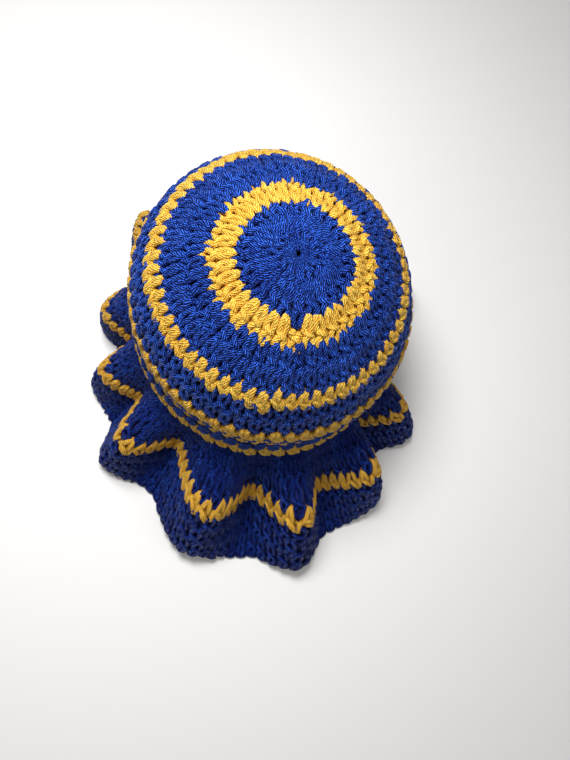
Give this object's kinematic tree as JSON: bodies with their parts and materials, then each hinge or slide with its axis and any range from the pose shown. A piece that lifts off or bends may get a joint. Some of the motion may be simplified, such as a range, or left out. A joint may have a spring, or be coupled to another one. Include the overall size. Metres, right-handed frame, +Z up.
{
  "type": "bucket hat",
  "caption": "Crocheted bucket hat with a domed crown and a deeply ruffled brim, blue yarn with golden rounds, standing on the brim's edge.",
  "frame": {"origin": "under the middle of the hat's bounding box, on the surface that it stands on", "axes": "+Z up through the crown, -Y towards the back of the hat, where the rounds are joined, +X towards the wearer's right"},
  "size_m": [0.2668, 0.3268, 0.195],
  "materials": {
    "blue_yarn": "soft twisted yarn, crocheted",
    "gold_yarn": "soft twisted yarn, crocheted"
  },
  "bodies": {
    "root": {"crown_centre": "blue_yarn", "crown_gold_ring": "gold_yarn", "crown_blue_band": "blue_yarn", "shoulder_gold_ring": "gold_yarn", "shoulder_blue_band": "blue_yarn", "side_gold_ring": "gold_yarn", "side_blue_band": "blue_yarn", "side_low_gold_ring": "gold_yarn", "side_low_blue_band": "blue_yarn", "base_gold_ring": "gold_yarn", "brim_upper_band": "blue_yarn", "brim_gold_ring": "gold_yarn", "brim_lower_band": "blue_yarn"}
  },
  "joints": []
}
